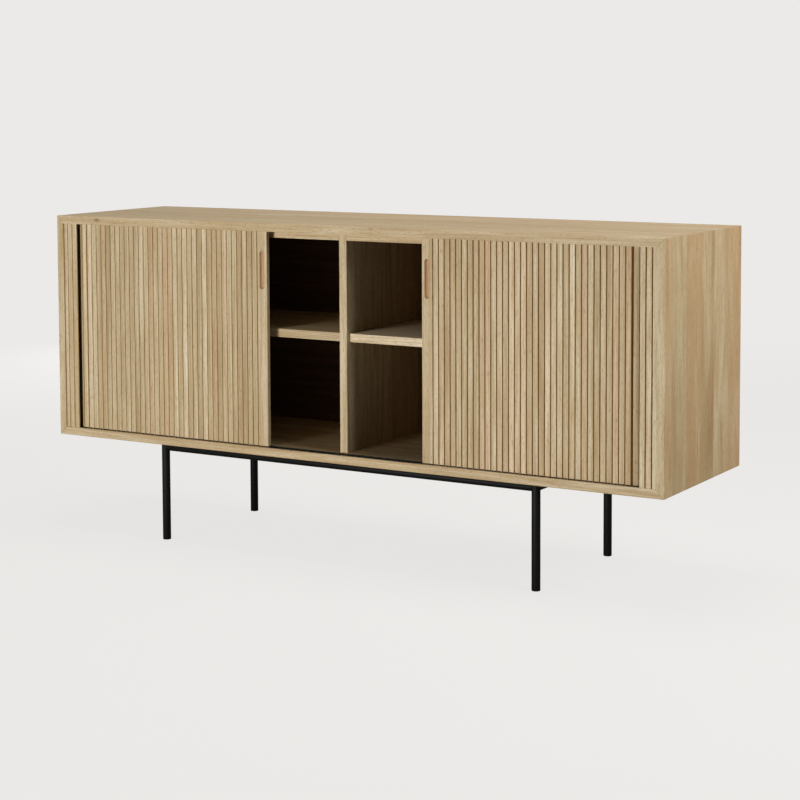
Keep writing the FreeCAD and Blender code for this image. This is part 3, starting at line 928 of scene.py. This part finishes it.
@dataclass
class Curtain:
    """The slats of one door on canvas: a front run that follows the stile, and a tail round the bend."""

    palette: Palette
    look: DoorLook
    count: int = 55
    thickness: float = 12.0 * MM
    # slats come mixed from many boards
    tone_spread: float = 0.08
    tone_range: Pair = (0.2, 0.8)
    blush_spread: float = 0.22
    most_blush: float = 0.6
    seed: int = 1184
    glue: float = 0.1 * MM
    cloth: float = 0.8 * MM
    tab: float = 20.0 * MM
    back_y: float = -196.0 * MM
    bend_x: float = 740.0 * MM
    bend_y: float = -152.5 * MM
    bend_radius: float = 43.5 * MM
    bend_steps: int = 14
    door: Door = field(init=False)
    run: float = field(init=False)
    half: float = field(init=False)
    moving: int = field(init=False)
    anchor: float = field(init=False)
    chance: random.Random = field(init=False)

    def __post_init__(self) -> None:
        """Works out the straight front run and how many slats lie on it."""
        self.door = self.look.door
        low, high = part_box(f"{self.door.label}_lead_stile")
        self.run = self.bend_x - max(abs(low.x), abs(high.x))
        self.half = (SLAT_PITCH - self.look.gap) / 2
        self.moving = math.floor((self.run + self.half) / SLAT_PITCH)
        # the last moving slat keeps its far edge where it is
        self.anchor = self.run - self.moving * SLAT_PITCH
        self.chance = random.Random(self.seed + self.door.value)

    def build(self) -> None:
        """Builds all the slats of the door and the canvas that joins them."""
        node = f"{self.door.label}_slats"
        model = self._slat_model(node)
        slats = [self._slat(model, i) for i in range(self.count)]
        bpy.data.meshes.remove(model.data)
        for i, slat in enumerate(slats[:self.moving]):
            self._follow(slat)
        tail = join(slats[self.moving:], f"{node}_round_the_bend")
        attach(tail, "case")
        pieces = slats[:self.moving] + [tail]
        for piece in pieces:
            stand_in(piece, node)
        self._canvas(f"{self.door.label}_canvas", pieces)

    def _slat_model(self, node: str) -> Object:
        """Models one slat with its back on the X axis.

        Args:
            node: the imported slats, which give the height.

        Returns:
            The slat.
        """
        low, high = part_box(node)
        slat = add_block("slat", (-self.half, -self.thickness, low.z), (self.half, 0, high.z))
        middle = -self.thickness / 2
        bevel_edges(slat, self.look.ease,
                    lambda a, b: max(a.y, b.y) < middle and abs(a.z - b.z) > SLAT_PITCH, FINE_STEPS)
        smooth(slat)
        # the sideways faces of the slat get the painted bounce light
        paint(slat, self.palette.slat, self.palette.sawn)
        warm_edges(slat)
        return slat

    def _slat(self, model: Object, number: int) -> Object:
        """Copies the slat to its place and gives it a tone of its own.

        Args:
            model: the slat to copy.
            number: counted from the stile.

        Returns:
            The slat in its place.
        """
        slat = model.copy()
        slat.data = model.data.copy()
        slat.name = slat.data.name = f"{self.door.label}_slat_{number:02d}"
        bpy.context.scene.collection.objects.link(slat)
        darkest, palest = self.tone_range
        tone = min(max(self.chance.gauss(self.look.tone, self.tone_spread), darkest), palest)
        blush = min(max(self.chance.gauss(0.0, self.blush_spread), 0.0), self.most_blush)
        mark_grain(slat, Grain.HEIGHT_FRONT, self.chance, tone, blush)
        slat.data.transform(self._place((number + 1) * SLAT_PITCH - self.half))
        return slat

    def _place(self, distance: float) -> Matrix:
        """Where a slat sits on its way from the stile along the front, round the bend and down the side.

        Args:
            distance: from the stile to the slat's middle, along the canvas.

        Returns:
            The move from the model slat to that place.
        """
        side = self.door.value
        past = max(distance - self.run, 0)
        straight = self.bend_x - max(self.run - distance, 0)
        quarter = self.bend_radius * math.pi / 2
        angle = min(past, quarter) / self.bend_radius
        x = straight + self.bend_radius * math.sin(angle)
        y = self.bend_y - self.bend_radius * math.cos(angle) + max(past - quarter, 0)
        return Matrix.Translation((side * x, y, 0)) @ Matrix.Rotation(side * angle, 4, "Z")

    def _follow(self, piece: Object) -> None:
        """Puts a piece's place into its mesh.

        Args:
            piece: a slat, or the strip of canvas behind it.
        """
        self._blend(piece)

    def _blend(self, piece: Object) -> None:
        """Puts a piece's place into its mesh."""
        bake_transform(piece)

    def _canvas(self, node: str, slats: Sequence[Object]) -> None:
        """Builds the canvas: a tab behind the stile, a strip behind each moving slat, and the bent tail.

        Args:
            node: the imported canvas.
            slats: what the canvas is glued to.
        """
        low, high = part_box(node)
        levels = (low.z, high.z)
        lead = self.bend_x - self.run
        tab = self._cloth(lead - self.tab, lead, levels)
        self._blend(tab)
        strips = [tab]
        for i in range(self.moving):
            strip = self._cloth(lead + i * SLAT_PITCH, lead + (i + 1) * SLAT_PITCH, levels)
            self._follow(strip)
            strips.append(strip)
        tail = self._canvas_tail(levels)
        self._blend(tail)
        strips.append(tail)
        canvas = join(strips, f"{node}_sheet")
        paint(canvas, self.palette.canvas)
        stand_in(canvas, node)

    def _cloth(self, near: float, far: float, levels: Pair) -> Object:
        """Cuts a flat piece of canvas that lies behind the slats on the front.

        Args:
            near: its inner end, from the middle of the case.
            far: its outer end, from the middle of the case.
            levels: its lowest and highest point.

        Returns:
            The piece of canvas.
        """
        left, right = self.door.across(near, far)
        front = self.back_y + self.glue
        return add_block("cloth", (left, front, levels[0]), (right, front + self.cloth, levels[1]))

    def _canvas_tail(self, levels: Pair) -> Object:
        """Bends the hidden end of the canvas round the corner by a spin, then draws it down the side.

        Args:
            levels: lowest and highest point of the canvas.

        Returns:
            The tail of the canvas.
        """
        side = self.door.value
        corner = side * self.bend_x
        length = self.count * SLAT_PITCH - self.run - self.bend_radius * math.pi / 2
        tail = self._cloth(self.bend_x - max(self.anchor, self.cloth), self.bend_x, levels)
        select_edges(tail, lambda a, b: max(abs(p.x - corner) for p in (a, b)) < TOUCH)
        bpy.ops.mesh.spin(steps=self.bend_steps, angle=-side * math.pi / 2, center=(corner, self.bend_y, 0),
                          axis=(0, 0, 1))
        bpy.ops.mesh.extrude_region_move(TRANSFORM_OT_translate={"value": (0, length, 0)})
        bpy.ops.mesh.select_all(action="SELECT")
        bpy.ops.mesh.remove_doubles(threshold=TOUCH)
        bpy.ops.mesh.normals_make_consistent(inside=False)
        bpy.ops.object.mode_set(mode="OBJECT")
        return tail


@dataclass
class Base:
    """The welded steel base: round legs, round rails under the case and foot glides."""

    palette: Palette
    sides: int = 48
    tube_rim: float = 0.6 * MM
    glide_rim: float = 1.2 * MM

    def build(self) -> None:
        """Builds legs, rails and glides."""
        runs = {leg: 2 for leg in LEGS}
        runs |= {"front_rail": 0, "back_rail": 0, "left_side_rail": 1, "right_side_rail": 1}
        for node, axis in runs.items():
            self._tube(node, axis)
        self._glides()

    def _tube(self, node: str, axis: int) -> None:
        """Builds one straight tube in the place of its node.

        Args:
            node: the node that it stands for.
            axis: the axis that it runs along.
        """
        low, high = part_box(node)
        extent = high - low
        turn = ((0, math.pi / 2, 0), (math.pi / 2, 0, 0), (0, 0, 0))[axis]
        bpy.ops.mesh.primitive_cylinder_add(vertices=self.sides, radius=extent[(axis + 1) % 3] / 2,
                                            depth=extent[axis], location=(low + high) / 2, rotation=turn)
        tube = settle(node + "_tube")
        bevel_edges(tube, self.tube_rim,
                    lambda a, b: any(abs(a[axis] - end) < MM and abs(b[axis] - end) < MM
                                     for end in (low[axis], high[axis])))
        smooth(tube)
        paint(tube, self.palette.black)
        stand_in(tube, node, "case")

    def _glides(self) -> None:
        """Builds the foot glides, a rounded disc under each leg."""
        node = "foot_glides"
        low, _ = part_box(node)
        discs = []
        for leg in LEGS:
            leg_low, leg_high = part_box(leg)
            middle = (leg_low + leg_high) / 2
            height = leg_low.z - low.z
            bpy.ops.mesh.primitive_cylinder_add(vertices=self.sides, radius=(leg_high.x - leg_low.x) / 2,
                                                depth=height, location=(middle.x, middle.y, height / 2))
            disc = settle("disc")
            bevel_edges(disc, self.glide_rim, lambda a, b: max(a.z, b.z) < height / 2, FINE_STEPS)
            discs.append(disc)
        glides = join(discs, "foot_glide_discs")
        smooth(glides)
        paint(glides, self.palette.plastic)
        stand_in(glides, node, "case")


# Studio


@dataclass(frozen=True)
class SoftBox:
    """A rectangular lamp that looks at the middle of the case.

    The azimuth is in degrees to the right of straight ahead, seen from the front of the case, the
    elevation in degrees above the floor, the power in watts.
    """

    name: str
    azimuth: float
    elevation: float
    distance: float
    size: Pair
    power: float
    aim: Triple = (0.0, -0.1, 0.5)

    def build(self) -> None:
        """Adds the lamp to the scene."""
        a, e = math.radians(self.azimuth), math.radians(self.elevation)
        towards = Vector((math.sin(a) * math.cos(e), -math.cos(a) * math.cos(e), math.sin(e)))
        data = bpy.data.lights.new(self.name, "AREA")
        data.shape = "RECTANGLE"
        data.size, data.size_y = self.size
        data.energy = self.power
        lamp = bpy.data.objects.new(self.name, data)
        lamp.location = Vector(self.aim) + towards * self.distance
        lamp.rotation_euler = (-towards).to_track_quat("-Z", "Y").to_euler()
        bpy.context.scene.collection.objects.link(lamp)


@dataclass
class Studio:
    """A pale seamless floor, soft lamps and the camera."""

    ground: str = "#eceae8"
    bounce: str = "#989694"
    glow: float = 1.225
    glow_share: float = 0.75
    floor_size: float = 14.0
    fade_from: float = 2.2
    fade_to: float = 4.6
    ambient: float = 0.01
    lamps: tuple[SoftBox, ...] = (
        SoftBox("front_lamp", azimuth=-10.0, elevation=-0.3, distance=4.6, size=(0.9, 0.5), power=180.0),
        SoftBox("right_lamp", azimuth=91.0, elevation=23.0, distance=3.0, size=(1.9, 1.0), power=55.5),
        SoftBox("top_lamp", azimuth=180.0, elevation=86.0, distance=3.4, size=(1.4, 1.4), power=64.0),
        SoftBox("back_lamp", azimuth=-142.0, elevation=0.0, distance=4.2, size=(1.6, 0.5), power=110.0),
    )
    sensor: float = 36.0
    lens: float = 88.781
    shift: float = -0.2
    eye: Triple = (2.4439, -4.0426, 1.109)
    yaw: float = 30.65
    pitch: float = 4.383
    roll: float = -0.237

    def build(self) -> None:
        """Sets up floor, world, lamps and camera."""
        bpy.context.scene.view_settings.view_transform = "Standard"
        self._floor()
        self._world()
        for lamp in self.lamps:
            lamp.build()
        self._camera()

    def _floor(self) -> None:
        """A large plane that fades into the background with distance."""
        bpy.ops.mesh.primitive_plane_add(size=self.floor_size)
        floor = settle("floor")
        material = bpy.data.materials.new("pale_studio_floor")
        add = adder(material)
        where = add("ShaderNodeTexCoord").outputs["Object"]
        reach = add("ShaderNodeVectorMath", {0: where}, operation="LENGTH")
        fade = add("ShaderNodeMapRange",
                   {"Value": reach, "From Min": self.fade_from, "From Max": self.fade_to},
                   interpolation_type="SMOOTHSTEP")
        paths = add("ShaderNodeLightPath").outputs
        seen = add("ShaderNodeMath", {0: paths["Is Camera Ray"], 1: self.glow_share}, operation="MULTIPLY")
        matte = add("ShaderNodeBsdfDiffuse", {"Color": linear(self.bounce)})
        glow = add("ShaderNodeEmission", {"Color": linear(self.ground), "Strength": self.glow})
        lit = add("ShaderNodeMixShader", {0: seen, 1: matte, 2: glow})
        mixed = add("ShaderNodeMixShader", {0: fade, 1: lit, 2: add("ShaderNodeBsdfTransparent")})
        add("ShaderNodeOutputMaterial", {"Surface": mixed})
        paint(floor, material)

    def _world(self) -> None:
        """Pale to the camera and in reflections, dim as light."""
        world = bpy.data.worlds.new("studio")
        bpy.context.scene.world = world
        add = adder(world)
        paths = add("ShaderNodeLightPath").outputs
        straight = add("ShaderNodeMath", {0: paths["Is Camera Ray"], 1: paths["Is Transmission Ray"]},
                       operation="MAXIMUM")
        seen = add("ShaderNodeMath", {0: straight, 1: paths["Is Glossy Ray"]}, operation="MAXIMUM")
        dim, pale = (add("ShaderNodeBackground", {"Color": linear(self.ground), "Strength": strength})
                     for strength in (self.ambient, 1.0))
        add("ShaderNodeOutputWorld", {"Surface": add("ShaderNodeMixShader", {0: seen, 1: dim, 2: pale})})

    def _camera(self) -> None:
        """The camera at the photograph's place and angle."""
        data = bpy.data.cameras.new("camera")
        data.sensor_width = self.sensor
        data.lens = self.lens
        data.shift_y = self.shift
        camera = bpy.data.objects.new("camera", data)
        turn = (Matrix.Rotation(math.radians(self.yaw), 4, "Z")
                @ Matrix.Rotation(math.radians(90.0 - self.pitch), 4, "X")
                @ Matrix.Rotation(math.radians(self.roll), 4, "Z"))
        camera.location = self.eye
        camera.rotation_euler = turn.to_euler()
        bpy.context.scene.collection.objects.link(camera)
        bpy.context.scene.camera = camera


def main() -> None:
    """Builds the sideboard piece by piece, then the studio."""
    logging.basicConfig(level=logging.INFO, format="%(name)s %(message)s")
    palette = Palette()
    Case(palette).dress()
    Fittings(palette).build()
    for look in DOOR_LOOKS:
        EndStrip(palette, look).build()
        LeadStile(palette, look.door).build()
        Curtain(palette, look).build()
    Base(palette).build()
    Studio().build()


if __name__ == "__main__":
    main()
